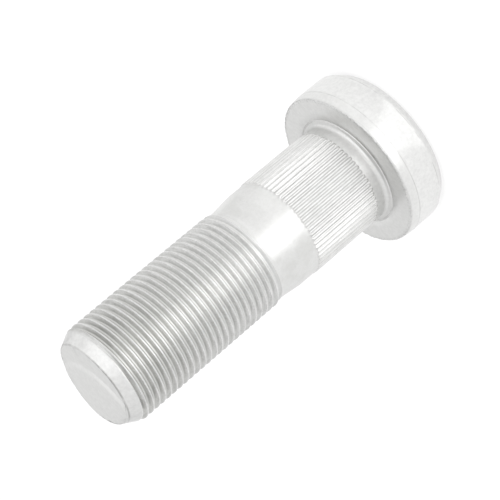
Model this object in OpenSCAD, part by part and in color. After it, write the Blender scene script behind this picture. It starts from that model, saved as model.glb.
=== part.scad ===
// Press-in wheel stud M22 x 1.5, 80 mm long, cold forged in one piece.
// It stands on its head: the head's outer face is at z = 0, and +Z runs along the axis
// towards the threaded end.

/* [Head] */
// Diameter of the round head
head_d = 35.4; // [30:0.1:44]
// Thickness of the head, from its outer face to its bearing face
head_h = 10; // [7:0.1:14]
// Height of the chamfer round the outer face
crown_h = 1.85; // [0.5:0.05:3]
// Width of the chamfer round the outer face
crown_w = 1.1; // [0.3:0.05:2.5]
// Height of the drafted band between the die's parting line and the bearing face
draft_h = 2.3; // [1.2:0.1:3.5]
// Narrowing of the radius over the drafted band
draft_w = 0.22; // [0.05:0.01:0.5]
// Round on the edge of the bearing face
bearing_round = 0.4; // [0.1:0.05:1]

/* [Neck] */
// Diameter of the plain shank
shank_d = 22.2; // [20:0.1:25]
// Fillet between the bearing face and the shank
neck_fillet = 1.3; // [0.5:0.05:2]
// Width of the relief groove round the foot of the fillet
relief_w = 0.35; // [0.1:0.05:0.8]
// Depth of the relief groove in the bearing face
relief_depth = 0.2; // [0.05:0.05:0.6]

/* [Serrations] */
// Number of serrations round the shank
teeth = 64; // [36:1:72]
// Rise of the crests above the plain shank, which is the grip in the hub's hole
crest_rise = 0.2; // [0.1:0.05:0.6]
// Depth of a groove, from the crests to its floor
groove_depth = 0.35; // [0.2:0.05:0.6]
// Width of a groove at the crests
groove_top = 0.72; // [0.5:0.02:0.8]
// Width of a groove's floor
groove_floor = 0.32; // [0.1:0.02:0.44]
// Distance from the bearing face to the serrations
knurl_gap = 3; // [2.5:0.1:6]
// Length of the serrations
knurl_len = 16.8; // [10:0.1:24]
// Length of the sloped run-out at each end of a serration
run_out = 0.5; // [0.3:0.05:1.5]

/* [Transition] */
// Length of plain shank above the serrations
plain_len = 4.2; // [2:0.1:8]
// Length of the taper from the shank down to the rolling blank
taper_len = 4.5; // [2:0.5:6]
// Length of blank left bare below the thread
blank_len = 0.8; // [0.4:0.1:2]

/* [Thread] */
// Major diameter of the thread
thread_d = 22; // [18:0.5:24]
// Pitch of the thread; its first and last turns rise from the blank and fall to it over one pitch
pitch = 1.5; // [1:0.25:2.5]
// Rise of the rolled crests above the blank
rolled_rise = 0.4; // [0.2:0.05:0.6]

/* [Thread end] */
// Length of the whole stud
total_len = 80; // [75:0.5:110]
// Height of the lead-in chamfer on the blank
lead_h = 2.3; // [1:0.1:4]
// Width of the lead-in chamfer
lead_w = 1.25; // [0.6:0.05:2.5]
// Height of the crown that cropping the bar left on the end face
crop_h = 1.1; // [0.3:0.1:1.5]
// Radius of the crown's foot
crop_r = 12; // [10:0.5:14]
// Distance of the crown's top from the axis
crop_offset = 7.7; // [5:0.1:8]
// Direction of the crown's top, from +X towards +Y
crop_angle = 135; // [0:5:355]

/* [Hidden] */
$fn = 96;
overlap = 0.5;

head_r = head_d / 2;
shank_r = shank_d / 2;
crest_r = shank_r + crest_rise;
floor_r = crest_r - groove_depth;
thread_r = thread_d / 2;
blank_r = thread_r - rolled_rise;
end_r = blank_r - lead_w;

foot_r = shank_r + neck_fillet;
knurl_z = head_h + knurl_gap;
knurl_top = knurl_z + knurl_len;
shank_top = knurl_top + plain_len;
taper_top = shank_top + taper_len;
thread_z = taper_top + blank_len;
end_z = total_len - crop_h;
thread_top = end_z - lead_h;

// Radius of the sphere whose cap is crop_h high over a foot of radius crop_r
crop_sphere_r = (crop_r * crop_r + crop_h * crop_h) / (2 * crop_h);

// Half section of the head, with its draft above the parting line
module head_section() {
    edge_r = head_r - draft_w;
    flat_r = edge_r - bearing_round;
    difference() {
        polygon([
            [0, 0], [head_r - crown_w, 0], [head_r, crown_h], [head_r, head_h - draft_h],
            [edge_r, head_h - bearing_round], [flat_r, head_h - bearing_round],
            [flat_r, head_h], [0, head_h]
        ]);
        translate([foot_r, head_h - relief_depth])
            square([relief_w, relief_depth + overlap]);
    }
    translate([flat_r, head_h - bearing_round])
        circle(r = bearing_round);
}

// Half section of the neck, with a true fillet at its foot
module neck_section() {
    translate([0, head_h - overlap])
        square([shank_r, knurl_gap + overlap]);
    difference() {
        translate([0, head_h - overlap])
            square([foot_r, neck_fillet + overlap]);
        translate([foot_r, head_h + neck_fillet])
            circle(r = neck_fillet);
    }
}

// Half section from the serrations' floor to the bare blank
module shank_section() {
    polygon([
        [0, knurl_z], [shank_r, knurl_z], [floor_r, knurl_z + run_out],
        [floor_r, knurl_top - run_out], [shank_r, knurl_top],
        [shank_r, shank_top], [blank_r, taper_top], [blank_r, thread_z],
        [0, thread_z]
    ]);
}

// Half section of the threaded end, at the thread's major diameter
module thread_section() {
    polygon([
        [0, thread_z], [blank_r, thread_z], [thread_r, thread_z + pitch],
        [thread_r, thread_top - pitch], [blank_r, thread_top], [end_r, end_z], [0, end_z]
    ]);
}

// Groove between two crests, as cut across the shank
module groove() {
    flank_run = (groove_top - groove_floor) / 2;
    spread = overlap * flank_run / groove_depth;
    polygon([
        [floor_r, -groove_floor / 2], [crest_r + overlap, -groove_top / 2 - spread],
        [crest_r + overlap, groove_top / 2 + spread], [floor_r, groove_floor / 2]
    ]);
}

// Straight serrations, sloped down to the shank at both ends
module serrations() {
    intersection() {
        translate([0, 0, knurl_z])
            linear_extrude(height = knurl_len)
                difference() {
                    circle(r = crest_r);
                    for (i = [0 : teeth - 1])
                        rotate(i * 360 / teeth)
                            groove();
                }
        rotate_extrude()
            polygon([
                [0, knurl_z], [floor_r, knurl_z], [crest_r, knurl_z + run_out],
                [crest_r, knurl_top - run_out], [floor_r, knurl_top], [0, knurl_top]
            ]);
    }
}

// Off-centre crown of the cropped end face, inside the chamfer's cone
module crop_crown() {
    slope = lead_w / lead_h;
    intersection() {
        rotate_extrude()
            polygon([
                [0, end_z - overlap], [end_r, end_z - overlap], [end_r, end_z],
                [end_r - crop_h * slope, total_len], [0, total_len]
            ]);
        rotate(crop_angle)
            translate([crop_offset, 0, total_len - crop_sphere_r])
                sphere(r = crop_sphere_r);
    }
}

module wheel_stud() {
    color("gainsboro") {
        rotate_extrude() {
            head_section();
            neck_section();
            shank_section();
            thread_section();
        }
        serrations();
        crop_crown();
    }
}

wheel_stud();
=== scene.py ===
"""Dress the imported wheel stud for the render.

The stud is one piece of cold-forged steel: a round head, serrations that grip the hub, a plain
shank that tapers to the thread's blank, and a rolled M22 x 1.5 thread with a cropped lead end.
Sizes in the classes are millimetres in the CAD frame, with the head's outer face at z = 0 and
the thread pointing to +Z. Angles are degrees.
"""

import logging
import math
from dataclasses import dataclass, field
from enum import Enum
from typing import Any, Callable, Iterable, Sequence

import bmesh
import bpy
from mathutils import Matrix, Vector


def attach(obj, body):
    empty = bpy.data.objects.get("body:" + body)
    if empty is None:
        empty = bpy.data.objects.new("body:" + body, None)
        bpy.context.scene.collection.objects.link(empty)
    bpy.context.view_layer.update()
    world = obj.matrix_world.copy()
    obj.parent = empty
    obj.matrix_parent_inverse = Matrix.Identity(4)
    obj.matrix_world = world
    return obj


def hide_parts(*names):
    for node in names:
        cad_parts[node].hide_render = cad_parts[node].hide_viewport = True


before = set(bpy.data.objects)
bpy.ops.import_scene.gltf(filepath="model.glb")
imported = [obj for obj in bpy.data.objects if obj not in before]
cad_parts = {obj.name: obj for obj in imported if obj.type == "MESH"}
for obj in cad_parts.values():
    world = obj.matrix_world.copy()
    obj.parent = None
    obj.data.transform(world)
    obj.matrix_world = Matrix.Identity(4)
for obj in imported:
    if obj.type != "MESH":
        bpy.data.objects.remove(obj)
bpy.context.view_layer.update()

LOG = logging.getLogger("wheel_stud")
NODE = "wheel_stud"
WHITE = "#FFFFFF"
MM = 0.001
# Metres within which two heights count as the same
TOUCH = 1e-7
# A filled cap has more corners than this, and no other face has
MOST_CORNERS = 8
# Sizes in mm that neighbouring lengths of the stud share
BEARING_HEIGHT = 10.0
BLANK_RADIUS = 10.6

Point = tuple[float, float]
Profile = tuple[Point, ...]
Span = tuple[float, float, float, float]


class Keep(Enum):
    """Which side of a level cut stays, with the option of the cut that clears the other."""

    ABOVE = "clear_inner"
    BELOW = "clear_outer"


def deselect_all() -> None:
    """Leave every object deselected in object mode."""
    if bpy.context.object and bpy.context.object.mode != "OBJECT":
        bpy.ops.object.mode_set(mode="OBJECT")
    bpy.ops.object.select_all(action="DESELECT")


def select_only(pieces: Sequence[bpy.types.Object]) -> None:
    """Select some objects and no others, in object mode.

    Args:
        pieces: Objects to select, of which the first becomes the active one.
    """
    deselect_all()
    for piece in pieces:
        piece.select_set(True)
    bpy.context.view_layer.objects.active = pieces[0]


def azimuth_of(vertex: bmesh.types.BMVert) -> float:
    """Give the azimuth of a vertex round the stud's axis."""
    return math.degrees(math.atan2(vertex.co.y, vertex.co.x))


def stands_at(vertex: bmesh.types.BMVert, height: float) -> bool:
    """Say whether a vertex stands at a height in mm."""
    return abs(vertex.co.z - height * MM) < TOUCH


def shifted(profile: Iterable[Point], height: float, radius: float) -> list[Point]:
    """Move a profile of heights and radii up to a height and out to a radius."""
    return [(height + rise, radius + reach) for rise, reach in profile]


def pick(piece: bpy.types.Object, wanted: Callable[[bmesh.types.BMVert], bool]) -> int:
    """Select the vertices of the piece in edit mode that pass a test.

    Args:
        piece: Object that is in edit mode.
        wanted: Test on each vertex.

    Returns:
        Number of vertices that are selected.
    """
    mesh = bmesh.from_edit_mesh(piece.data)
    mesh.select_mode = {"VERT"}
    count = 0
    for vertex in mesh.verts:
        chosen = wanted(vertex)
        vertex.select_set(chosen)
        count += chosen
    mesh.select_flush_mode()
    bmesh.update_edit_mesh(piece.data, loop_triangles=False, destructive=False)
    return count


def pick_open_edges(piece: bpy.types.Object, low: float, high: float) -> int:
    """Select the open edges whose ends lie between two heights.

    Args:
        piece: Object that is in edit mode.
        low: Lower height in mm.
        high: Upper height in mm.

    Returns:
        Number of edges that are selected.
    """
    bpy.ops.mesh.select_mode(type="EDGE")
    mesh = bmesh.from_edit_mesh(piece.data)
    count = 0
    for face in mesh.faces:
        face.select_set(False)
    for edge in mesh.edges:
        chosen = edge.is_boundary and all(low * MM <= v.co.z <= high * MM for v in edge.verts)
        edge.select_set(chosen)
        count += chosen
    bmesh.update_edit_mesh(piece.data, loop_triangles=False, destructive=False)
    return count


def drop_cap(piece: bpy.types.Object, height: float) -> None:
    """Delete the filled face that a turning leaves at one of its ends.

    Args:
        piece: Object in object mode.
        height: Height of that end in mm.
    """
    select_only([piece])
    bpy.ops.object.mode_set(mode="EDIT")
    bpy.ops.mesh.select_mode(type="FACE")
    mesh = bmesh.from_edit_mesh(piece.data)
    for face in mesh.faces:
        face.select_set(len(face.verts) > MOST_CORNERS
                        and all(stands_at(vertex, height) for vertex in face.verts))
    bmesh.update_edit_mesh(piece.data)
    bpy.ops.mesh.delete(type="ONLY_FACE")
    bpy.ops.object.mode_set(mode="OBJECT")


class Turning:
    """A turned solid that is drawn up ring by ring from a filled circle.

    Attributes:
        height: Height of the last ring in mm.
        radius: Radius of the last ring in mm.
        axis: Place of the turning axis in metres.
    """

    def __init__(self, name: str, sides: int, start: Point, axis: Point = (0.0, 0.0)) -> None:
        """Add the circle that the solid starts from.

        Args:
            name: Name of the object.
            sides: Number of vertices in a ring.
            start: Height and radius of the first ring in mm.
            axis: Place of the turning axis in mm.
        """
        deselect_all()
        self.height, self.radius = start
        self.axis = Vector((axis[0] * MM, axis[1] * MM, 0.0))
        bpy.ops.mesh.primitive_circle_add(
            vertices=sides, radius=self.radius * MM, fill_type="NGON",
            location=(self.axis.x, self.axis.y, self.height * MM))
        self.piece = bpy.context.object
        self.piece.name = name
        bpy.ops.object.transform_apply(location=True, rotation=True, scale=True)
        bpy.ops.object.mode_set(mode="EDIT")
        bpy.ops.mesh.select_mode(type="VERT")
        bpy.ops.mesh.select_all(action="SELECT")

    def ring(self, height: float, radius: float) -> None:
        """Extrude the open end to a new ring.

        Args:
            height: Height of the ring in mm.
            radius: Radius of the ring in mm.
        """
        bpy.ops.mesh.extrude_region_move(
            TRANSFORM_OT_translate={"value": (0.0, 0.0, (height - self.height) * MM)})
        ratio = radius / self.radius
        if ratio != 1.0:
            bpy.ops.transform.resize(value=(ratio, ratio, 1.0),
                                     center_override=(self.axis.x, self.axis.y, height * MM))
        self.height, self.radius = height, radius

    def rings(self, profile: Iterable[Point]) -> None:
        """Draw the solid up through a list of heights and radii in mm."""
        for height, radius in profile:
            self.ring(height, radius)

    def press(self, wanted: Callable[[float], bool], radius: float) -> None:
        """Scale part of the top ring to a radius, then select the whole ring again.

        Args:
            wanted: Test on the azimuth of a vertex.
            radius: Radius that the chosen vertices get, in mm.
        """
        reach: list[float] = []

        def chosen(vertex: bmesh.types.BMVert) -> bool:
            """Test a vertex and note how far from the axis it stands.

            Args:
                vertex: Vertex of the solid.

            Returns:
                Whether it is on the top ring and is to be moved.
            """
            if not stands_at(vertex, self.height) or not wanted(azimuth_of(vertex)):
                return False
            reach.append(math.hypot(vertex.co.x, vertex.co.y))
            return True

        if pick(self.piece, chosen):
            ratio = radius * MM / (sum(reach) / len(reach))
            bpy.ops.transform.resize(value=(ratio, ratio, 1.0),
                                     center_override=(0.0, 0.0, self.height * MM))
        pick(self.piece, lambda vertex: stands_at(vertex, self.height))

    def roughen(self, height: float, amount: float, seed: int) -> None:
        """Shift the vertices of a finished ring at random.

        Args:
            height: Height of the ring in mm.
            amount: Furthest shift in mm.
            seed: Seed of the shifts.
        """
        if pick(self.piece, lambda vertex: stands_at(vertex, height)):
            bpy.ops.transform.vertex_random(offset=amount * MM, uniform=1.0, normal=0.0, seed=seed)

    def finish(self) -> bpy.types.Object:
        """Leave edit mode and hand over the object."""
        bpy.ops.object.mode_set(mode="OBJECT")
        return self.piece


def linear(code: str) -> tuple[float, float, float, float]:
    """Turn a colour into what the shaders work with.

    Args:
        code: The colour as sRGB hex.

    Returns:
        Its linear red, green and blue, and full alpha.
    """
    channels = [int(code[i:i + 2], 16) / 255.0 for i in (1, 3, 5)]
    red, green, blue = (c / 12.92 if c <= 0.04045 else ((c + 0.055) / 1.055) ** 2.4
                        for c in channels)
    return red, green, blue, 1.0


def add_node(tree: bpy.types.NodeTree, kind: str, settings: dict[str | int, Any],
             links: dict[str | int, Any] | None = None) -> bpy.types.Node:
    """Add a node with its settings and links.

    Args:
        tree: Node tree that gets the node.
        kind: Blender's name of the node type.
        settings: Attributes, or input values where the name is an input's name or number.
        links: Input name or number to the socket that feeds it.

    Returns:
        The new node.
    """
    node = tree.nodes.new(kind)
    for name, value in settings.items():
        if isinstance(name, str) and hasattr(node, name):
            setattr(node, name, value)
        else:
            node.inputs[name].default_value = value
    for name, socket in (links or {}).items():
        tree.links.new(socket, node.inputs[name])
    return node


class Breaks(Enum):
    """How a stain or painted shade on the plating is broken up: its gaps' size across and along the
    stud in mm.
    """

    NONE = (0.0, 0.0)
    SPECKS = (0.4, 0.4)
    STRETCHES = (4.5, 4.5)
    ROLLED_AND_SHADED = (3.2, 0.14)
    DRAWN = (0.30, 3.0)


class Tone(Enum):
    """Colour of a stain, or of painted shade, where it covers the plating, from the palest to the
    darkest.
    """

    DRAWN = "#D6D6D5"
    SMOOTHED = "#D0D0CE"
    # Painted shade in the thread's flanks and roots
    ROLLED_AND_SHADED = "#CECECB"
    FORGED = "#CCCCCA"
    # Also painted shade on the neck
    GRAINY_AND_SHADED = "#C4C4C1"
    # Also painted shade in the relief groove and along the end's rim
    WORN_AND_SHADED = "#A0A09D"
    # Also painted shade on the serrations' flanks
    GRIMY_AND_SHADED = "#8C8C89"
    # Painted shade along the end's rim
    RIM_SHADE = "#787875"


class Zone(Enum):
    """Part of the stud that a stain or painted shade can lie on: radii outwards, then heights
    upwards, in mm.

    Each gives where the zone begins, is full, is full for the last time, and has ended.
    """

    THREAD_FLANKS = ((10.05, 10.10, 10.82, 10.94), (38.4, 68.0, 76.0, 76.5))
    LAST_THREADS = ((10.20, 10.35, 10.90, 11.0), (62.0, 72.0, 76.0, 76.5))
    THREAD = ((10.25, 10.40, 11.1, 11.2), (39.0, 42.0, 76.0, 76.5))
    LAST_GROOVE = ((9.80, 9.90, 10.55, 10.80), (75.3, 75.6, 76.4, 76.6))
    SHANK = ((10.30, 10.50, 11.12, 11.20), (29.8, 30.0, 39.4, 40.6))
    FILLET_FOOT = ((11.40, 11.60, 12.18, 12.22), (9.60, 9.70, 10.16, 10.36))
    NECK = ((10.80, 10.90, 12.16, 12.22), (9.90, 9.96, 12.80, 13.00))
    SERRATIONS = ((10.60, 10.70, 11.3, 11.4), (12.9, 13.1, 29.7, 29.9))
    SERRATION_FLANKS = ((10.94, 11.00, 11.11, 11.17), (13.0, 13.2, 29.6, 29.8))
    SERRATION_FACES = ((10.60, 10.70, 11.3, 11.4), (13.0, 13.2, 29.6, 29.8))
    INNER_TOOTH_ENDS = ((11.00, 11.04, 12.0, 12.1), (12.85, 12.95, 13.10, 13.25))
    OUTER_TOOTH_ENDS = ((11.00, 11.04, 12.0, 12.1), (29.55, 29.70, 29.85, 29.95))
    DRAFT_BAND = ((17.00, 17.20, 18.0, 18.1), (7.0, 8.8, 9.60, 9.80))
    BEARING_FACE = ((12.50, 12.60, 16.8, 17.1), (9.96, 9.98, 10.02, 10.04))
    END_FACE = ((-0.2, -0.1, 9.2, 9.3), (78.85, 78.89, 80.2, 80.3))
    PARTING_LINE = ((17.20, 17.30, 18.0, 18.1), (7.62, 7.70, 7.76, 7.84))
    BEARING_EDGE = ((16.60, 16.80, 17.5, 17.6), (9.70, 9.86, 10.1, 10.2))
    BACK_EDGE = ((17.40, 17.50, 18.0, 18.1), (1.84, 1.92, 2.02, 2.12))
    END_RIM = ((9.08, 9.20, 9.45, 9.55), (78.60, 78.70, 78.89, 78.97))


@dataclass(frozen=True)
class StainAndShade:
    """A darker colour over one zone of the plating: some are thin films that dull it, others are
    painted shade.

    Attributes:
        zone: Where it lies.
        tone: Its colour where it covers the plating.
        share: How much of the plating it covers there, up to 1.
        breaks: How it is broken up.
    """

    zone: Zone
    tone: Tone
    share: float
    breaks: Breaks = Breaks.NONE


@dataclass(frozen=True)
class ZincPlatedSteel:
    """Cold-forged steel, barrel zinc plated and clear passivated.

    The plating gives a pale, nearly neutral satin metal. The forged skin below it leaves soft
    mottles about a millimetre across, so highlights break up at their edges. The plating's own
    grain is too fine to show in the render, so it is drawn as coarse as it needs to show.

    Attributes:
        name: Name of the material.
        bright: Colour of the brightest mottles.
        dull: Colour of the dullest mottles.
        tone_span: Values of the mottles' noise that are fully dull and fully bright.
        satin: Lowest roughness.
        matt: Highest roughness.
        rough_span: Values of the mottles' noise that have the lowest and highest roughness.
        mottle_mm: Width of a mottle.
        mottle_relief: Strength of the mottles' bump and its depth in mm.
        grain_mm: Width of a grain.
        grain_relief: Strength of the grain's bump and its depth in mm.
        break_span: Values of the noise that breaks a stain or painted shade up, where it is all gap
            and where it is whole.
        stains_and_shade: The stains and the painted shade, each of which lies over the ones before
            it.
    """

    name: str = "zinc_plated_steel"
    bright: str = "#E6E6E5"
    dull: str = "#DCDCDB"
    tone_span: Point = (0.35, 0.65)
    satin: float = 0.28
    matt: float = 0.36
    rough_span: Point = (0.3, 0.7)
    mottle_mm: float = 0.8
    mottle_relief: Point = (0.28, 0.03)
    grain_mm: float = 0.28
    grain_relief: Point = (0.35, 0.016)
    break_span: Point = (0.46, 0.60)
    stains_and_shade: tuple[StainAndShade, ...] = (
        # Painted shade in the thread's flanks and roots, deeper towards the lead end
        StainAndShade(Zone.THREAD_FLANKS, Tone.ROLLED_AND_SHADED, 0.75),
        # Darker, patchy flanks on the last threads towards the lead end
        StainAndShade(Zone.LAST_THREADS, Tone.GRIMY_AND_SHADED, 0.2, Breaks.STRETCHES),
        StainAndShade(Zone.THREAD, Tone.GRIMY_AND_SHADED, 0.22, Breaks.ROLLED_AND_SHADED),
        StainAndShade(Zone.THREAD, Tone.GRIMY_AND_SHADED, 0.16, Breaks.SPECKS),
        StainAndShade(Zone.LAST_GROOVE, Tone.WORN_AND_SHADED, 0.15, Breaks.STRETCHES),
        # Plain shank and taper a little darker than the head
        StainAndShade(Zone.SHANK, Tone.DRAWN, 0.5),
        StainAndShade(Zone.SHANK, Tone.GRAINY_AND_SHADED, 0.2, Breaks.SPECKS),
        StainAndShade(Zone.SHANK, Tone.GRAINY_AND_SHADED, 0.25, Breaks.STRETCHES),
        # Painted shade in the relief groove at the fillet's foot
        StainAndShade(Zone.FILLET_FOOT, Tone.WORN_AND_SHADED, 0.18),
        # Painted shade on the neck between the bearing face and the serrations
        StainAndShade(Zone.NECK, Tone.GRAINY_AND_SHADED, 0.1),
        StainAndShade(Zone.SERRATIONS, Tone.SMOOTHED, 0.15),
        # Painted shade on the serrations' flanks
        StainAndShade(Zone.SERRATION_FLANKS, Tone.GRIMY_AND_SHADED, 0.25),
        StainAndShade(Zone.SERRATION_FACES, Tone.WORN_AND_SHADED, 0.18, Breaks.DRAWN),
        StainAndShade(Zone.INNER_TOOTH_ENDS, Tone.WORN_AND_SHADED, 0.35, Breaks.SPECKS),
        StainAndShade(Zone.OUTER_TOOTH_ENDS, Tone.WORN_AND_SHADED, 0.25, Breaks.SPECKS),
        StainAndShade(Zone.DRAFT_BAND, Tone.FORGED, 0.25),
        StainAndShade(Zone.BEARING_FACE, Tone.FORGED, 0.2),
        StainAndShade(Zone.END_FACE, Tone.FORGED, 0.2),
        StainAndShade(Zone.PARTING_LINE, Tone.WORN_AND_SHADED, 0.12),
        StainAndShade(Zone.PARTING_LINE, Tone.WORN_AND_SHADED, 0.3, Breaks.STRETCHES),
        StainAndShade(Zone.BEARING_EDGE, Tone.GRIMY_AND_SHADED, 0.25, Breaks.SPECKS),
        StainAndShade(Zone.BACK_EDGE, Tone.GRIMY_AND_SHADED, 0.35, Breaks.STRETCHES),
        # Painted shade along the rim between the lead chamfer and the end face, standing in for the
        # shade of a lip too small to model
        StainAndShade(Zone.END_RIM, Tone.WORN_AND_SHADED, 0.26),
        StainAndShade(Zone.END_RIM, Tone.RIM_SHADE, 0.35, Breaks.STRETCHES))

    def band(self, tree: bpy.types.NodeTree, value: bpy.types.NodeSocket,
             span: Span) -> bpy.types.NodeSocket:
        """Add a mask that rises from 0 to 1 and falls back to 0 along a value.

        Args:
            tree: Node tree of the material.
            value: Socket with a length in metres.
            span: Start and end of the rise, then start and end of the fall, in mm.

        Returns:
            The socket with the mask.
        """
        rise_from, rise_to, fall_from, fall_to = (length * MM for length in span)
        rise = add_node(tree, "ShaderNodeMapRange", {"From Min": rise_from, "From Max": rise_to},
                        {"Value": value})
        fall = add_node(tree, "ShaderNodeMapRange", {"From Min": fall_to, "From Max": fall_from},
                        {"Value": value})
        both = add_node(tree, "ShaderNodeMath", {"operation": "MULTIPLY"},
                        {0: rise.outputs["Result"], 1: fall.outputs["Result"]})
        return both.outputs["Value"]

    def break_masks(self, tree: bpy.types.NodeTree,
                   place: bpy.types.NodeSocket) -> dict[Breaks, bpy.types.NodeSocket]:
        """Add the mask of each way in which a stain or painted shade is broken up.

        Args:
            tree: Node tree of the material.
            place: Socket with the Object coordinates.

        Returns:
            The sockets with the masks, which are 0 in a gap.
        """
        closed, whole = self.break_span
        masks: dict[Breaks, bpy.types.NodeSocket] = {}
        for breaks in (kind for kind in Breaks if kind is not Breaks.NONE):
            across, along = (1.0 / size / MM for size in breaks.value)
            cells = add_node(tree, "ShaderNodeVectorMath",
                             {"operation": "MULTIPLY", 1: (across, across, along)}, {0: place})
            spots = add_node(tree, "ShaderNodeTexNoise",
                             {"Scale": 1.0, "Detail": 2.0, "Roughness": 0.6},
                             {"Vector": cells.outputs["Vector"]})
            mask = add_node(tree, "ShaderNodeMapRange", {"From Min": closed, "From Max": whole},
                            {"Value": spots.outputs["Fac"]})
            masks[breaks] = mask.outputs["Result"]
        return masks

    def stained_and_shaded(self, tree: bpy.types.NodeTree, place: bpy.types.NodeSocket,
                colour: bpy.types.NodeSocket) -> bpy.types.NodeSocket:
        """Lay the stains and the painted shade over the plating's colour.

        Args:
            tree: Node tree of the material.
            place: Socket with the Object coordinates.
            colour: Socket with the clean plating's colour.

        Returns:
            The socket with the stained and shaded colour.
        """
        level = add_node(tree, "ShaderNodeVectorMath",
                         {"operation": "MULTIPLY", 1: (1.0, 1.0, 0.0)}, {0: place})
        radius = add_node(tree, "ShaderNodeVectorMath", {"operation": "LENGTH"},
                          {0: level.outputs["Vector"]})
        height = add_node(tree, "ShaderNodeSeparateXYZ", {}, {"Vector": place})
        masks = self.break_masks(tree, place)
        for overlay in self.stains_and_shade:
            radii, heights = overlay.zone.value
            cover = add_node(tree, "ShaderNodeMath", {"operation": "MULTIPLY"},
                             {0: self.band(tree, radius.outputs["Value"], radii),
                              1: self.band(tree, height.outputs["Z"], heights)})
            cover = add_node(tree, "ShaderNodeMath", {"operation": "MULTIPLY", 1: overlay.share},
                             {0: cover.outputs["Value"]})
            if overlay.breaks is not Breaks.NONE:
                cover = add_node(tree, "ShaderNodeMath", {"operation": "MULTIPLY"},
                                 {0: cover.outputs["Value"], 1: masks[overlay.breaks]})
            mixed = add_node(tree, "ShaderNodeMix",
                             {"data_type": "RGBA", 7: linear(overlay.tone.value)},
                             {0: cover.outputs["Value"], 6: colour})
            colour = mixed.outputs[2]
        return colour

    def material(self) -> bpy.types.Material:
        """Build the plating's node material.

        Returns:
            The material, on Object coordinates.
        """
        material = bpy.data.materials.new(self.name)
        material.use_nodes = True
        tree = material.node_tree
        tree.nodes.clear()
        place = add_node(tree, "ShaderNodeTexCoord", {}).outputs["Object"]
        mottle = add_node(tree, "ShaderNodeTexNoise",
                          {"Scale": 1.0 / (self.mottle_mm * MM), "Detail": 3.0, "Roughness": 0.6},
                          {"Vector": place})
        grain = add_node(tree, "ShaderNodeTexNoise",
                         {"Scale": 1.0 / (self.grain_mm * MM), "Detail": 2.0, "Roughness": 0.5},
                         {"Vector": place})
        tone = add_node(tree, "ShaderNodeValToRGB", {}, {"Fac": mottle.outputs["Fac"]})
        for stop, position, code in zip(tone.color_ramp.elements, self.tone_span,
                                        (self.dull, self.bright)):
            stop.position, stop.color = position, linear(code)
        low, high = self.rough_span
        rough = add_node(tree, "ShaderNodeMapRange",
                         {"From Min": low, "From Max": high, "To Min": self.satin,
                          "To Max": self.matt}, {"Value": mottle.outputs["Fac"]})
        strength, depth = self.mottle_relief
        coarse = add_node(tree, "ShaderNodeBump", {"Strength": strength, "Distance": depth * MM},
                          {"Height": mottle.outputs["Fac"]})
        strength, depth = self.grain_relief
        fine = add_node(tree, "ShaderNodeBump", {"Strength": strength, "Distance": depth * MM},
                        {"Height": grain.outputs["Fac"], "Normal": coarse.outputs["Normal"]})
        shader = add_node(tree, "ShaderNodeBsdfPrincipled", {"Metallic": 1.0},
                          {"Base Color": self.stained_and_shaded(tree, place, tone.outputs["Color"]),
                           "Roughness": rough.outputs["Result"],
                           "Normal": fine.outputs["Normal"]})
        add_node(tree, "ShaderNodeOutputMaterial", {}, {"Surface": shader.outputs["BSDF"]})
        return material


@dataclass
class SubAssembly:
    """A length of the stud that is modelled by itself and then joined to its neighbours.

    Attributes:
        piece: The length's mesh object, once it is built.
    """

    piece: bpy.types.Object | None = field(default=None, init=False)

    def build(self) -> bpy.types.Object:
        """Model the mesh. Each length of the stud does this its own way."""
        raise NotImplementedError

    def dress(self, material: bpy.types.Material) -> None:
        """Give the mesh its one finish."""
        self.piece.data.materials.clear()
        self.piece.data.materials.append(material)


@dataclass
class ForgedHead(SubAssembly):
    """The round head: outer face, back chamfer, forged side and bearing edge.

    A profile lists how far its points stand up and out from the place that it shapes.

    Attributes:
        radius: Radius of the forged side.
        height: Height of the bearing face.
        face_radius: Radius of the flat outer face.
        face_edge: Profile of the outer face's edge.
        chamfer_edge: Profile of the back chamfer's top, from the outer face and the side.
        parting_height: Height of the forging's parting line.
        parting_line: Profile of the shallow groove that the parting line leaves.
        draft: Narrowing of the radius above the parting line.
        bearing_edge: Profile of the bearing face's edge.
        rough_rings: Rise from the bearing face, furthest shift and seed of each rough ring.
        inner_radius: Radius where the head is joined to the shank's length.
        inner_ring: Width of the last ring of faces before that radius.
        sides: Number of vertices in a ring.
    """

    radius: float = 17.68
    height: float = BEARING_HEIGHT
    face_radius: float = 16.50
    face_edge: Profile = ((0.0, -0.12), (0.03, 0.0), (0.11, 0.09))
    chamfer_edge: Profile = ((1.62, -0.15), (1.80, -0.05), (1.99, -0.01), (2.25, 0.0), (5.0, 0.0))
    parting_height: float = 7.72
    parting_line: Profile = ((-0.05, 0.0), (0.0, -0.05), (0.05, -0.02))
    draft: float = 0.22
    bearing_edge: Profile = ((-0.40, 0.0), (-0.27, -0.04), (-0.10, -0.17), (-0.02, -0.36),
                             (0.0, -0.56))
    rough_rings: tuple[tuple[float, float, int], ...] = ((-0.10, 0.12, 3), (-0.02, 0.09, 5))
    inner_radius: float = 14.6
    inner_ring: float = 0.6
    sides: int = 320

    def build(self) -> bpy.types.Object:
        """Model the head from its outer face up to the bearing face.

        Returns:
            The head, open at its inner radius.
        """
        start, *face = shifted(self.face_edge, 0.0, self.face_radius)
        blank = Turning("head", self.sides, start)
        blank.rings(face)
        blank.rings(shifted(self.chamfer_edge, 0.0, self.radius))
        blank.rings(shifted(self.parting_line, self.parting_height, self.radius))
        blank.rings(shifted(self.bearing_edge, self.height, self.radius - self.draft))
        blank.rings([(self.height, self.inner_radius + self.inner_ring),
                     (self.height, self.inner_radius)])
        for rise, amount, seed in self.rough_rings:
            blank.roughen(self.height + rise, amount, seed)
        self.piece = blank.finish()
        drop_cap(self.piece, self.height)
        return self.piece


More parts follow.
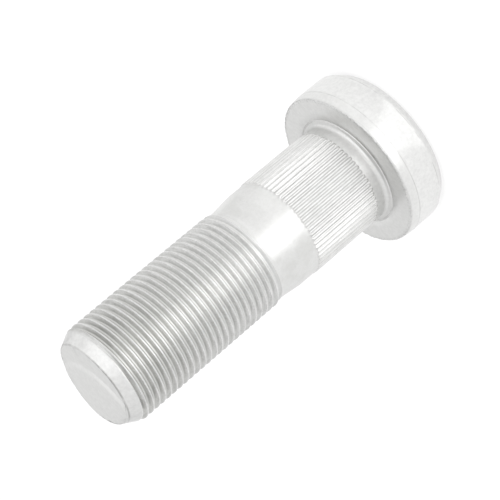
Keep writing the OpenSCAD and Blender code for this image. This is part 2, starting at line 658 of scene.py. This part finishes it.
@dataclass
class SerratedShank(SubAssembly):
    """Bearing face, relief groove, neck fillet, pressed serrations, shank and taper.

    Attributes:
        bearing_height: Height of the bearing face.
        outer_radius: Radius where this length is joined to the head.
        shank_radius: Radius of the plain shank.
        fillet: Radius of the fillet between the bearing face and the shank.
        fillet_steps: Number of rings in the fillet.
        fillet_lift: Lift of the fillet's rings, which lets its top end in a fine shoulder.
        relief_width: Width of the relief groove round the fillet's foot.
        relief_depth: Depth of the relief groove.
        teeth: Number of serrations.
        slices: Number of vertices in a pitch of the serrations.
        crest_radius: Radius on the serrations' crests.
        floor_radius: Radius on the grooves' floors.
        steepness: Share of the steep wave in the grooves' form, the rest being a cosine.
        start: Height where the serrations begin.
        stop: Height where they end.
        end_reach: How far from those heights a tooth's end reaches.
        end_shifts: Shift of the ends of the teeth in a group.
        shank_top: Height where the taper begins.
        taper_top: Height where it ends.
        bend_reach: How far from those heights the bends are softened.
        bend_sag: How far a softened bend stands off its corner, at it and at its reach.
        blank_radius: Radius of the thread's blank.
        top: Height where this length is joined to the thread.
    """

    bearing_height: float = BEARING_HEIGHT
    outer_radius: float = 14.2
    shank_radius: float = 11.1
    fillet: float = 1.06
    fillet_steps: int = 8
    fillet_lift: float = 0.02
    relief_width: float = 0.3
    relief_depth: float = 0.25
    teeth: int = 64
    slices: int = 12
    crest_radius: float = 11.29
    floor_radius: float = 10.90
    steepness: float = 0.4
    start: float = 13.0
    stop: float = 29.8
    end_reach: float = 0.35
    end_shifts: tuple[tuple[int, float], ...] = ((1, 0.09), (2, -0.07), (4, 0.05))
    shank_top: float = 34.0
    taper_top: float = 38.3
    bend_reach: float = 0.5
    bend_sag: Point = (0.012, 0.055)
    blank_radius: float = BLANK_RADIUS
    top: float = 38.6

    def slice_of(self, azimuth: float) -> int:
        """Count the slices between a vertex and the nearest groove's middle.

        Args:
            azimuth: Azimuth of the vertex.

        Returns:
            The count, from 0 in the groove's middle to half a pitch on a crest.
        """
        place = round(azimuth / (360.0 / (self.teeth * self.slices))) % self.slices
        return min(place, self.slices - place)

    def on_slice(self, place: int) -> Callable[[float], bool]:
        """Give the test for the vertices that stand some slices off a groove's middle."""
        return lambda azimuth: self.slice_of(azimuth) == place

    def group_of(self, azimuth: float) -> int:
        """Give the group of a tooth, from 0 to 4, in a mixed order round the shank."""
        return round(azimuth / (360.0 / self.teeth) + 0.5) * 7 % 5

    def tooth_ring(self, blank: Turning, height: float, crest: float, floor: float) -> None:
        """Draw one ring of the serrations.

        Args:
            blank: The solid that is being drawn up.
            height: Height of the ring in mm.
            crest: Radius on the crests in mm.
            floor: Radius on the groove floors in mm.
        """
        blank.ring(height, crest)
        for place in range(self.slices // 2):
            wave = (1.0 + math.cos(math.tau * place / self.slices)) / 2.0
            steep = wave * wave * (3.0 - 2.0 * wave)
            depth = (1.0 - self.steepness) * wave + self.steepness * steep
            blank.press(self.on_slice(place), crest - (crest - floor) * depth)

    def draw_neck(self, blank: Turning) -> None:
        """Draw the relief groove, with softened lips, and the fillet that rises from it.

        Args:
            blank: The solid that is being drawn up.
        """
        face, foot = self.bearing_height, self.shank_radius + self.fillet
        rim, bed = foot + self.relief_width, face - self.relief_depth
        blank.rings([(face, rim + 0.05), (face - 0.04, rim - 0.02), (bed + 0.02, rim - 0.12),
                     (bed, foot + 0.14), (bed + 0.03, foot + 0.05), (face - 0.05, foot - 0.02)])
        for step in range(1, self.fillet_steps + 1):
            turn = math.radians(90.0 * step / self.fillet_steps)
            lift = self.fillet_lift if step < self.fillet_steps else 0.0
            blank.ring(face + self.fillet * (1.0 - math.cos(turn)) + lift,
                       foot - self.fillet * math.sin(turn))

    def draw_serrations(self, blank: Turning) -> None:
        """Draw the serrations, sloped down to the shank at both ends.

        Args:
            blank: The solid that is being drawn up.
        """
        r, crest, floor = self.shank_radius, self.crest_radius, self.floor_radius
        blank.rings([(self.start - 0.45, r), (self.start - 0.12, r)])
        # Distance from the serrations' end, and the radii of crests and floors there
        slope = ((-0.10, r, r), (0.0, r + 0.08, r - 0.04), (0.12, crest - 0.02, floor + 0.03),
                 (0.32, crest, floor))
        for inset, high, low in slope:
            self.tooth_ring(blank, self.start + inset, high, low)
        self.tooth_ring(blank, (self.start + self.stop) / 2.0, crest, floor)
        for inset, high, low in reversed(slope):
            self.tooth_ring(blank, self.stop - inset, high, low)

    def draw_taper(self, blank: Turning) -> None:
        """Draw the plain shank and its taper down to the thread's blank.

        Args:
            blank: The solid that is being drawn up.
        """
        r, b, reach = self.shank_radius, self.blank_radius, self.bend_reach
        near, far = self.bend_sag
        blank.rings([(self.stop + 0.6, r), (self.shank_top - reach, r), (self.shank_top, r - near),
                     (self.shank_top + reach, r - far), (self.taper_top - reach, b + far),
                     (self.taper_top, b + near), (self.top - 0.1, b), (self.top, b)])

    def stagger(self, blank: Turning) -> None:
        """Shift the ends of some teeth a little, as the rolling tool leaves them.

        Args:
            blank: The solid, still in edit mode.
        """
        for group, shift in self.end_shifts:
            for end in (self.start, self.stop):
                if pick(blank.piece, lambda vertex: abs(vertex.co.z / MM - end) < self.end_reach
                        and self.group_of(azimuth_of(vertex)) == group):
                    bpy.ops.transform.translate(value=(0.0, 0.0, shift * MM))

    def build(self) -> bpy.types.Object:
        """Model the shank from the bearing face up to the thread's blank.

        Returns:
            The shank, open at both ends.
        """
        blank = Turning("shank", self.teeth * self.slices, (self.bearing_height, self.outer_radius))
        self.draw_neck(blank)
        self.draw_serrations(blank)
        self.draw_taper(blank)
        self.stagger(blank)
        self.piece = blank.finish()
        drop_cap(self.piece, self.bearing_height)
        drop_cap(self.piece, self.top)
        return self.piece


@dataclass
class RolledThread(SubAssembly):
    """The rolled thread, which fades to its blank at both ends.

    Attributes:
        crest_radius: Radius on the crests.
        root_radius: Radius on the roots.
        blank_radius: Radius of the blank that the thread is rolled on.
        pitch: Distance from one crest to the next.
        bottom: Height where the thread is cut from the shank's side.
        top: Height where it is cut from the end's side.
        plain: Length left at each cut for the plain blank.
        run_in: Length over which the thread rises above the shank.
        crest_run_out: Length over which the crests fall at the end.
        root_run_out: Length over which the roots rise at the end.
        crest_height: Height of one crest on the +X side.
        steps: Number of vertices in a turn.
        merge: Distance within which the vertices of neighbouring turns are one.
    """

    crest_radius: float = 10.99
    root_radius: float = 10.17
    blank_radius: float = BLANK_RADIUS
    pitch: float = 1.5
    bottom: float = 38.8
    top: float = 76.6
    plain: float = 0.1
    run_in: float = 2.0
    crest_run_out: float = 0.8
    root_run_out: float = 0.5
    crest_height: float = 43.115
    steps: int = 128
    merge: float = 0.002

    def half_profile(self) -> list[Point]:
        """Give the 60 degree thread form from the root's middle to the crest's middle.

        Returns:
            Distance from the crest's middle and radius, both in mm.
        """
        c, q, half = self.crest_radius, self.root_radius, self.pitch / 2.0
        return [(half, q), (half - 0.135, q + 0.002), (half - 0.18, q + 0.035), (0.145, c - 0.03),
                (0.128, c - 0.008), (0.108, c), (0.0, c)]

    def profile(self) -> list[Point]:
        """Give the thread form over one pitch.

        Returns:
            Rise from the crest's middle and radius, both in mm.
        """
        half = self.half_profile()
        lower = [(-offset, radius) for offset, radius in half]
        upper = [(offset, radius) for offset, radius in reversed(half)]
        return lower + upper[1:]

    def fade(self, height: float, radius: float) -> float:
        """Say how far a point of the form has faded to the blank.

        Args:
            height: Height of the point in mm.
            radius: Radius of the point in mm.

        Returns:
            0 for the full form, up to 1 for the plain blank.
        """
        run_out = self.crest_run_out if radius > self.blank_radius else self.root_run_out
        part = min((height - self.bottom - self.plain) / self.run_in,
                   (self.top - self.plain - height) / run_out)
        part = min(max(part, 0.0), 1.0)
        return 1.0 - part * part * (3.0 - 2.0 * part)

    def screw_form(self) -> bpy.types.Object:
        """Draw the thread form and screw it round the axis, past both cuts.

        Returns:
            The screwed form, in object mode.
        """
        deselect_all()
        turns_down = math.ceil((self.crest_height - self.bottom) / self.pitch + 1.0)
        low = self.crest_height - turns_down * self.pitch
        points = [(radius * MM, (low + offset) * MM) for offset, radius in self.profile()]
        bpy.ops.mesh.primitive_plane_add(size=MM, location=(points[0][0], 0.0, points[0][1]))
        thread = bpy.context.object
        thread.name = "thread"
        bpy.ops.object.transform_apply(location=True, rotation=True, scale=True)
        bpy.ops.object.mode_set(mode="EDIT")
        bpy.ops.mesh.select_mode(type="VERT")
        bpy.ops.mesh.select_all(action="SELECT")
        bpy.ops.mesh.merge(type="CENTER")
        for (r0, z0), (r1, z1) in zip(points, points[1:]):
            bpy.ops.mesh.extrude_vertices_move(
                TRANSFORM_OT_translate={"value": (r1 - r0, 0.0, z1 - z0)})
        bpy.ops.object.mode_set(mode="OBJECT")
        screw = thread.modifiers.new("screw", "SCREW")
        screw.axis, screw.angle, screw.screw_offset = "Z", math.tau, self.pitch * MM
        screw.iterations = math.ceil((self.top - low) / self.pitch + 0.5)
        screw.steps = screw.render_steps = self.steps
        bpy.ops.object.modifier_apply(modifier=screw.name)
        bpy.ops.object.mode_set(mode="EDIT")
        bpy.ops.mesh.select_all(action="SELECT")
        bpy.ops.mesh.remove_doubles(threshold=self.merge * MM)
        bpy.ops.object.mode_set(mode="OBJECT")
        return thread

    def fade_ends(self, thread: bpy.types.Object) -> None:
        """Draw the thread's ends towards the blank's cylinder.

        Args:
            thread: The screwed form, in object mode.
        """
        fading = thread.vertex_groups.new(name="fading")
        for vertex in thread.data.vertices:
            weight = self.fade(vertex.co.z / MM, math.hypot(vertex.co.x, vertex.co.y) / MM)
            if weight > 0.0:
                fading.add([vertex.index], weight, "REPLACE")
        cast = thread.modifiers.new("fade", "CAST")
        cast.cast_type, cast.use_z, cast.use_radius_as_size = "CYLINDER", False, False
        cast.factor, cast.radius, cast.size = 1.0, 0.0, self.blank_radius * MM
        cast.vertex_group = fading.name
        bpy.ops.object.modifier_apply(modifier=cast.name)
        thread.vertex_groups.clear()

    def build(self) -> bpy.types.Object:
        """Model the thread by screwing its form round the axis.

        Returns:
            The thread, cut level and open at both ends.
        """
        self.piece = self.screw_form()
        self.fade_ends(self.piece)
        bpy.ops.object.mode_set(mode="EDIT")
        for height, keep in ((self.bottom, Keep.ABOVE), (self.top, Keep.BELOW)):
            bpy.ops.mesh.select_all(action="SELECT")
            bpy.ops.mesh.bisect(plane_co=(0.0, 0.0, height * MM), plane_no=(0.0, 0.0, 1.0),
                                use_fill=False, threshold=TOUCH, **{keep.value: True})
        bpy.ops.object.mode_set(mode="OBJECT")
        return self.piece


@dataclass
class CroppedEnd(SubAssembly):
    """The lead chamfer and the end face, whose low crown stands off the axis.

    Attributes:
        bottom: Height where the end is joined to the thread.
        blank_radius: Radius of the thread's blank, where the chamfer begins.
        face_height: Height of the end face outside its crown.
        lead_height: Height of the lead chamfer.
        lead_width: Width of the lead chamfer.
        lower_rings: Heights above the bottom of the cone's rings below the end face.
        upper_rings: Heights above the end face of its rings there, which the crop cuts.
        crown_height: Height of the crown above the end face.
        crown_foot: Radius of the crown's foot.
        crown_offset: Distance of the crown's middle from the axis.
        crown_azimuth: Direction of the crown's middle.
        crown_form: Inset from the crown's foot, and share of its height there.
        crop_radius: Radius of the crop tool, which is wider than the stud.
        crop_depth: How far the crop tool reaches below the end's bottom.
        crop_sides: Number of vertices in a ring of the crop tool.
        rim: Width of the break on the rim.
        rim_angle: Angle, in radians, above which an edge near the face is the rim.
        rim_shift: Furthest random shift of the rim's vertices.
        rim_seed: Seed of those shifts.
        sort_point: Point that has no two of the rim's vertices at the same distance.
        sides: Number of vertices in a ring of the cone.
    """

    bottom: float = 76.7
    blank_radius: float = BLANK_RADIUS
    face_height: float = 78.9
    lead_height: float = 2.3
    lead_width: float = 1.25
    lower_rings: tuple[float, ...] = (0.0, 0.15, 1.0)
    upper_rings: tuple[float, ...] = (0.0, 0.7, 1.5)
    crown_height: float = 1.02
    crown_foot: float = 12.0
    crown_offset: float = 7.7
    crown_azimuth: float = 135.0
    crown_form: Profile = ((-0.25, 0.0), (0.02, 0.005), (0.12, 0.03), (0.6, 0.15), (1.05, 0.26),
                           (1.30, 0.30), (1.8, 0.34), (3.5, 0.48), (6.0, 0.70), (8.5, 0.88),
                           (10.5, 0.98), (11.6, 1.0))
    crop_radius: float = 30.0
    crop_depth: float = 3.0
    crop_sides: int = 192
    rim: float = 0.17
    rim_angle: float = 0.5
    rim_shift: float = 0.03
    rim_seed: int = 2
    sort_point: tuple[float, float, float] = (41.0, 23.0, 95.0)
    sides: int = 128

    def cone(self) -> bpy.types.Object:
        """Turn the lead chamfer's cone, which stands taller than the stud.

        Returns:
            The cone, in object mode.
        """
        slope = self.lead_width / self.lead_height
        start = self.face_height - self.lead_height
        heights = ([self.bottom + rise for rise in self.lower_rings]
                   + [self.face_height + rise for rise in self.upper_rings])
        first, *others = ((z, self.blank_radius - slope * (z - start)) for z in heights)
        blank = Turning("end", self.sides, first)
        blank.rings(others)
        return blank.finish()

    def crop_tool(self) -> bpy.types.Object:
        """Turn the solid that keeps what lies below the crowned face.

        Returns:
            The tool, in object mode.
        """
        turn = math.radians(self.crown_azimuth)
        middle = (self.crown_offset * math.cos(turn), self.crown_offset * math.sin(turn))
        start = (self.bottom - self.crop_depth, self.crop_radius)
        tool = Turning("crop", self.crop_sides, start, middle)
        tool.ring(self.face_height, self.crop_radius)
        for inset, rise in self.crown_form:
            tool.ring(self.face_height + self.crown_height * rise, self.crown_foot - inset)
        return tool.finish()

    def build(self) -> bpy.types.Object:
        """Model the end as a cone that a crowned tool cuts off.

        Returns:
            The end, open at its bottom.
        """
        self.piece, crop = self.cone(), self.crop_tool()
        select_only([self.piece])
        cut = self.piece.modifiers.new("crop", "BOOLEAN")
        cut.operation, cut.solver, cut.object = "INTERSECT", "EXACT", crop
        bpy.ops.object.modifier_apply(modifier=cut.name)
        bpy.data.objects.remove(crop)
        drop_cap(self.piece, self.bottom)
        self.break_rim()
        return self.piece

    def break_rim(self) -> None:
        """Round the rim between the lead chamfer and the end face, and wear it a little."""
        bpy.ops.object.mode_set(mode="EDIT")
        bpy.ops.mesh.select_mode(type="EDGE")
        mesh = bmesh.from_edit_mesh(self.piece.data)
        low = (self.face_height - 0.1) * MM
        for edge in mesh.edges:
            edge.select_set(edge.is_manifold and edge.calc_face_angle() > self.rim_angle
                            and all(vertex.co.z > low for vertex in edge.verts))
        bmesh.update_edit_mesh(self.piece.data)
        bpy.ops.mesh.bevel(offset=self.rim * MM, segments=3, affect="EDGES")
        # The cut leaves its vertices in another order each run, and the shifts go by that order
        bpy.context.scene.cursor.location = Vector(self.sort_point) * MM
        bpy.ops.mesh.sort_elements(type="CURSOR_DISTANCE", elements={"VERT"})
        bpy.ops.transform.vertex_random(offset=self.rim_shift * MM, uniform=1.0, normal=0.0,
                                        seed=self.rim_seed)
        bpy.ops.object.mode_set(mode="OBJECT")


@dataclass
class WheelStud:
    """The whole stud: four lengths joined into one closed mesh.

    Attributes:
        head: The round head.
        shank: Everything from the bearing face to the taper.
        thread: The rolled thread.
        end: The cropped end.
        finish: The one finish of all four.
        slack: How far an open edge may stand off the height where its length ends.
        smooth_angle: Angle up to which neighbouring faces are shaded as one surface.
    """

    head: ForgedHead = field(default_factory=ForgedHead)
    shank: SerratedShank = field(default_factory=SerratedShank)
    thread: RolledThread = field(default_factory=RolledThread)
    end: CroppedEnd = field(default_factory=CroppedEnd)
    finish: ZincPlatedSteel = field(default_factory=ZincPlatedSteel)
    slack: float = 0.01
    smooth_angle: float = 50.0

    def build(self) -> bpy.types.Object:
        """Model the four lengths, join them and close the gaps between them.

        Returns:
            The stud as one mesh object at the origin.
        """
        material = self.finish.material()
        lengths: Sequence[SubAssembly] = (self.head, self.shank, self.thread, self.end)
        for length in lengths:
            piece = length.build()
            length.dress(material)
            LOG.info("%s: %d faces", piece.name, len(piece.data.polygons))
        select_only([length.piece for length in lengths])
        bpy.ops.object.join()
        stud = self.head.piece
        bpy.ops.object.mode_set(mode="EDIT")
        for low, high in ((self.head.height, self.shank.bearing_height),
                          (self.shank.top, self.thread.bottom),
                          (self.thread.top, self.end.bottom)):
            count = pick_open_edges(stud, low - self.slack, high + self.slack)
            LOG.info("open edges at %.1f mm: %d", low, count)
            bpy.ops.mesh.bridge_edge_loops()
        bpy.ops.mesh.select_mode(type="VERT")
        bpy.ops.mesh.select_all(action="SELECT")
        bpy.ops.mesh.normals_make_consistent(inside=False)
        # In some runs the operator turns this shell inwards
        if bmesh.from_edit_mesh(stud.data).calc_volume(signed=True) < 0.0:
            bpy.ops.mesh.flip_normals()
        bpy.ops.object.mode_set(mode="OBJECT")
        bpy.ops.object.shade_smooth_by_angle(angle=math.radians(self.smooth_angle))
        weigh = stud.modifiers.new("weigh", "WEIGHTED_NORMAL")
        weigh.mode, weigh.keep_sharp = "FACE_AREA", True
        bpy.ops.object.modifier_apply(modifier=weigh.name)
        stud.name = "stud"
        stud.data.name = "stud"
        return stud

    def place(self, stud: bpy.types.Object) -> None:
        """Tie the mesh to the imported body.

        Args:
            stud: The finished stud.
        """
        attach(stud, "root")
        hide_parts(NODE)


@dataclass(frozen=True)
class Gap:
    """A darker opening in the pale room.

    Attributes:
        azimuth: Direction of its middle round the stud's axis.
        elevation: Angle of its middle above the horizon.
        edge: Cosine of the angle from its middle at which it begins.
        core: Cosine of the angle within which it is fully dark.
        level: Brightness that is left in it, up to 1.
    """

    azimuth: float
    elevation: float
    edge: float
    core: float
    level: float

    def direction(self) -> tuple[float, float, float]:
        """Give the direction of its middle as a unit vector."""
        turn, rise = math.radians(self.azimuth), math.radians(self.elevation)
        return (math.cos(rise) * math.cos(turn), math.cos(rise) * math.sin(turn), math.sin(rise))


@dataclass(frozen=True)
class SoftBox:
    """A soft lamp that is turned to the stud's middle.

    Attributes:
        name: Name of the lamp.
        azimuth: Direction of the lamp round the stud's axis.
        elevation: Angle of the lamp above the horizon, seen from a point on that axis.
        distance: Distance of the lamp from that point.
        across: Width of the lamp.
        along: Length of the lamp.
        level: Brightness of the lamp's face, where 1 is white.
        height: Height of that point.
        upward: Whether the lamp lies level instead and faces up.
        mirrored: Whether the stud mirrors it.
    """

    name: str
    azimuth: float
    elevation: float
    distance: float
    across: float
    along: float
    level: float
    height: float = 40.0
    upward: bool = False
    mirrored: bool = True


@dataclass(frozen=True)
class TableGlow(SoftBox):
    """A soft lamp just above the floor that faces up, as light off a bright table does.

    Attributes:
        height: Height of the lamp above the floor.
        upward: Whether the lamp faces up, which it does.
    """

    height: float = 0.4
    upward: bool = True


@dataclass
class Studio:
    """White floor, pale room, soft lamps and the camera at the photograph's angle.

    Attributes:
        lens: Focal length of the camera.
        sensor: Width of the camera's sensor.
        near: Nearest distance that the camera sees.
        distance: Distance of the camera from the point that it is aimed at.
        azimuth: Direction of the camera round the stud's axis.
        elevation: Angle of the camera above the horizon.
        roll: Turn of the camera about its own axis.
        shift_right: How far the camera stands left of its aim, so the stud shows further right.
        shift_up: How far the camera stands below its aim, so the stud shows further up.
        aim_height: Height of the point that the camera and the lamps are aimed at.
        floor_radius: Radius of the floor.
        floor_glow: Share of the floor's white that doesn't depend on the light.
        floor_fall: How much darker the stud mirrors the floor far behind it.
        floor_behind: Y of the unit direction to a point of the floor from which all of that holds.
        room_tones: Height of a direction, from 0 for level to 1 for up, and the room's colour.
        gaps: The darker openings in the room.
        lamps: The soft lamps.
    """

    lens: float = 131.9
    sensor: float = 36.0
    near: float = 10.0
    distance: float = 356.55
    azimuth: float = -88.9
    elevation: float = 23.067
    roll: float = 130.188
    shift_right: float = -0.4229
    shift_up: float = 2.5514
    aim_height: float = 40.0
    floor_radius: float = 4000.0
    floor_glow: float = 0.75
    floor_fall: float = 0.12
    floor_behind: float = 0.8
    room_tones: tuple[tuple[float, str], ...] = (
        (0.0, "#DCDCDC"), (0.08, "#E2E2E2"), (0.18, "#F8F8F8"), (0.28, "#FCFCFC"),
        (0.36, "#F5F5F5"), (0.44, "#F5F5F5"), (0.54, "#FAFAFA"), (0.72, WHITE), (1.0, WHITE))
    gaps: tuple[Gap, ...] = (Gap(90.0, 80.0, 0.90, 0.965, 0.4),
                             Gap(118.0, 30.0, 0.88, 0.97, 0.92))
    lamps: tuple[SoftBox, ...] = (
        TableGlow("table_head", -89.0, 0.0, 29.0, 16.0, 22.0, 0.23),
        TableGlow("table_neck", -97.0, 0.0, 52.0, 38.0, 24.0, 0.80),
        TableGlow("table_shank", -99.0, 0.0, 90.0, 68.0, 52.0, 0.34),
        TableGlow("table_thread", -101.0, 0.0, 190.0, 138.0, 148.0, 1.50),
        TableGlow("table_far", -98.0, 0.0, 900.0, 600.0, 1272.0, 0.30),
        TableGlow("table_right", -62.0, 0.0, 140.0, 140.0, 220.0, 0.12, height=0.3),
        TableGlow("table_rear", 57.0, 0.0, 155.0, 100.0, 120.0, 0.14, height=0.3),
        TableGlow("table_round", 0.0, 0.0, 0.0, 100.0, 100.0, 0.03, height=0.2),
        SoftBox("side", -62.0, 34.0, 1000.0, 2600.0, 310.0, 0.49),
        SoftBox("top", -45.0, 60.0, 1000.0, 1060.0, 130.0, 1.00),
        SoftBox("back", 87.0, 47.0, 1000.0, 200.0, 250.0, 0.40),
        SoftBox("back_low", 75.0, 32.0, 1000.0, 90.0, 170.0, 0.50),
        SoftBox("left", -150.0, 28.0, 1000.0, 700.0, 260.0, 0.08),
        SoftBox("right", 22.0, 16.0, 1000.0, 900.0, 260.0, 0.16),
        SoftBox("overhead", 0.0, 90.0, 1400.0, 1500.0, 1500.0, 1.9, mirrored=False))

    def camera(self) -> None:
        """Set the camera to the place that was worked out from the photograph."""
        turn, rise, roll = (math.radians(angle)
                            for angle in (self.azimuth, self.elevation, self.roll))
        toward = Vector((math.cos(rise) * math.cos(turn), math.cos(rise) * math.sin(turn),
                         math.sin(rise)))
        right = Vector((-math.sin(turn), math.cos(turn), 0.0))
        up = toward.cross(right)
        place = toward * self.distance - right * self.shift_right - up * self.shift_up
        place = (place + Vector((0.0, 0.0, self.aim_height))) * MM
        across = right * math.cos(roll) - up * math.sin(roll)
        upward = right * math.sin(roll) + up * math.cos(roll)
        data = bpy.data.cameras.new("camera")
        data.lens, data.sensor_width, data.sensor_fit = self.lens, self.sensor, "HORIZONTAL"
        data.clip_start = self.near * MM
        camera = bpy.data.objects.new("camera", data)
        bpy.context.collection.objects.link(camera)
        axes = Matrix((across, upward, toward)).transposed().to_4x4()
        camera.matrix_world = Matrix.Translation(place) @ axes
        bpy.context.scene.camera = camera

    def seen_directly(self, tree: bpy.types.NodeTree) -> bpy.types.NodeSocket:
        """Add the test that is 1 for camera, glossy and transmission rays.

        Args:
            tree: Node tree of the floor.

        Returns:
            The socket with the answer.
        """
        path = add_node(tree, "ShaderNodeLightPath", {})
        mirror = add_node(tree, "ShaderNodeMath", {"operation": "MAXIMUM"},
                          {0: path.outputs["Is Camera Ray"], 1: path.outputs["Is Glossy Ray"]})
        both = add_node(tree, "ShaderNodeMath", {"operation": "MAXIMUM"},
                        {0: mirror.outputs["Value"], 1: path.outputs["Is Transmission Ray"]})
        return both.outputs["Value"]

    def floor_level(self, tree: bpy.types.NodeTree) -> bpy.types.NodeSocket:
        """Let the floor behind the stud look a little darker in the stud's mirrors.

        Args:
            tree: Node tree of the floor's material.

        Returns:
            The socket with the floor's brightness, which is 1 for the camera.
        """
        place = add_node(tree, "ShaderNodeTexCoord", {})
        way = add_node(tree, "ShaderNodeVectorMath", {"operation": "NORMALIZE"},
                       {0: place.outputs["Object"]})
        back = add_node(tree, "ShaderNodeSeparateXYZ", {}, {"Vector": way.outputs["Vector"]})
        dim = add_node(tree, "ShaderNodeMapRange",
                       {"From Min": 0.0, "From Max": self.floor_behind, "To Max": self.floor_fall},
                       {"Value": back.outputs["Y"]})
        path = add_node(tree, "ShaderNodeLightPath", {})
        loss = add_node(tree, "ShaderNodeMath", {"operation": "MULTIPLY"},
                        {0: dim.outputs["Result"], 1: path.outputs["Is Glossy Ray"]})
        level = add_node(tree, "ShaderNodeMath", {"operation": "SUBTRACT", 0: 1.0},
                         {1: loss.outputs["Value"]})
        return level.outputs["Value"]

    def paper(self) -> bpy.types.Material:
        """Build the floor's white paper, which takes a faint shadow.

        Returns:
            The material, part plain paper and part glow of its own.
        """
        material = bpy.data.materials.new("white_paper")
        material.use_nodes = True
        tree = material.node_tree
        tree.nodes.clear()
        paper = add_node(tree, "ShaderNodeBsdfDiffuse", {"Color": linear(WHITE)})
        glow = add_node(tree, "ShaderNodeEmission", {"Color": linear(WHITE)},
                        {"Strength": self.floor_level(tree)})
        share = add_node(tree, "ShaderNodeMath", {"operation": "MULTIPLY", 1: self.floor_glow},
                         {0: self.seen_directly(tree)})
        mix = add_node(tree, "ShaderNodeMixShader", {},
                       {0: share.outputs["Value"], 1: paper.outputs["BSDF"],
                        2: glow.outputs["Emission"]})
        add_node(tree, "ShaderNodeOutputMaterial", {}, {"Surface": mix.outputs["Shader"]})
        return material

    def floor(self) -> None:
        """Add the white floor, which isn't part of the stud."""
        deselect_all()
        bpy.ops.mesh.primitive_circle_add(vertices=64, radius=self.floor_radius * MM,
                                          fill_type="NGON", location=(0.0, 0.0, 0.0))
        floor = bpy.context.object
        floor.name = "floor"
        floor.data.materials.append(self.paper())

    def room_level(self, tree: bpy.types.NodeTree,
                   way: bpy.types.NodeSocket) -> bpy.types.NodeSocket:
        """Darken the room at its gaps.

        Args:
            tree: Node tree of the world.
            way: Socket with the direction that is looked in.

        Returns:
            The socket with the room's brightness, which is 1 outside the gaps.
        """
        levels = []
        for gap in self.gaps:
            near = add_node(tree, "ShaderNodeVectorMath",
                            {"operation": "DOT_PRODUCT", 1: gap.direction()}, {0: way})
            dark = add_node(tree, "ShaderNodeMapRange",
                            {"interpolation_type": "SMOOTHSTEP", "From Min": gap.edge,
                             "From Max": gap.core, "To Min": 1.0, "To Max": gap.level},
                            {"Value": near.outputs["Value"]})
            levels.append(dark.outputs["Result"])
        strength, *others = levels
        for level in others:
            strength = add_node(tree, "ShaderNodeMath", {"operation": "MULTIPLY"},
                                {0: strength, 1: level}).outputs["Value"]
        return strength

    def world(self) -> None:
        """Light the scene from a pale room, which the camera itself sees as white."""
        world = bpy.data.worlds.new("room")
        bpy.context.scene.world = world
        world.use_nodes = True
        tree = world.node_tree
        tree.nodes.clear()
        way = add_node(tree, "ShaderNodeTexCoord", {}).outputs["Generated"]
        up = add_node(tree, "ShaderNodeSeparateXYZ", {}, {"Vector": way})
        tone = add_node(tree, "ShaderNodeValToRGB", {}, {"Fac": up.outputs["Z"]})
        lowest, *between, highest = self.room_tones
        for stop, (position, code) in zip(tone.color_ramp.elements, (lowest, highest)):
            stop.position, stop.color = position, linear(code)
        for position, code in between:
            tone.color_ramp.elements.new(position).color = linear(code)
        room = add_node(tree, "ShaderNodeBackground", {},
                        {"Color": tone.outputs["Color"], "Strength": self.room_level(tree, way)})
        light = add_node(tree, "ShaderNodeLightPath", {})
        white = add_node(tree, "ShaderNodeBackground", {"Color": linear(WHITE), "Strength": 1.0})
        mix = add_node(tree, "ShaderNodeMixShader", {},
                       {0: light.outputs["Is Camera Ray"], 1: room.outputs["Background"],
                        2: white.outputs["Background"]})
        add_node(tree, "ShaderNodeOutputWorld", {}, {"Surface": mix.outputs["Shader"]})

    def lamp(self, box: SoftBox) -> None:
        """Hang a soft lamp, which the camera itself doesn't see.

        Args:
            box: Sizes, place and level of the lamp.
        """
        turn, rise = math.radians(box.azimuth), math.radians(box.elevation)
        level = math.cos(rise) * box.distance
        spot = Vector((level * math.cos(turn), level * math.sin(turn),
                       box.distance * math.sin(rise)))
        spot = (spot + Vector((0.0, 0.0, box.height))) * MM
        data = bpy.data.lights.new(box.name, "AREA")
        data.shape, data.size, data.size_y = "RECTANGLE", box.across * MM, box.along * MM
        data.energy = box.level * math.pi * data.size * data.size_y
        lamp = bpy.data.objects.new(box.name, data)
        bpy.context.collection.objects.link(lamp)
        lamp.visible_camera, lamp.visible_glossy = False, box.mirrored
        if box.upward:
            lamp.rotation_euler = (math.pi, 0.0, turn - math.pi / 2.0)
        else:
            aim = Vector((0.0, 0.0, self.aim_height * MM)) - spot
            lamp.rotation_euler = aim.to_track_quat("-Z", "Y").to_euler()
        lamp.location = spot

    def build(self) -> None:
        """Set the camera, floor, world and lamps, and the plain view transform."""
        bpy.context.scene.view_settings.view_transform = "Standard"
        self.camera()
        self.floor()
        self.world()
        for box in self.lamps:
            self.lamp(box)
        LOG.info("studio: %d lamps", len(self.lamps))


def main() -> None:
    """Build the studio and the stud, and report each piece."""
    logging.basicConfig(level=logging.INFO, format="%(name)s: %(message)s")
    Studio().build()
    wheel_stud = WheelStud()
    stud = wheel_stud.build()
    wheel_stud.place(stud)
    triangles = sum(len(face.vertices) - 2 for face in stud.data.polygons)
    LOG.info("%s: %d triangles, %d vertices", stud.name, triangles, len(stud.data.vertices))


if __name__ == "__main__":
    main()
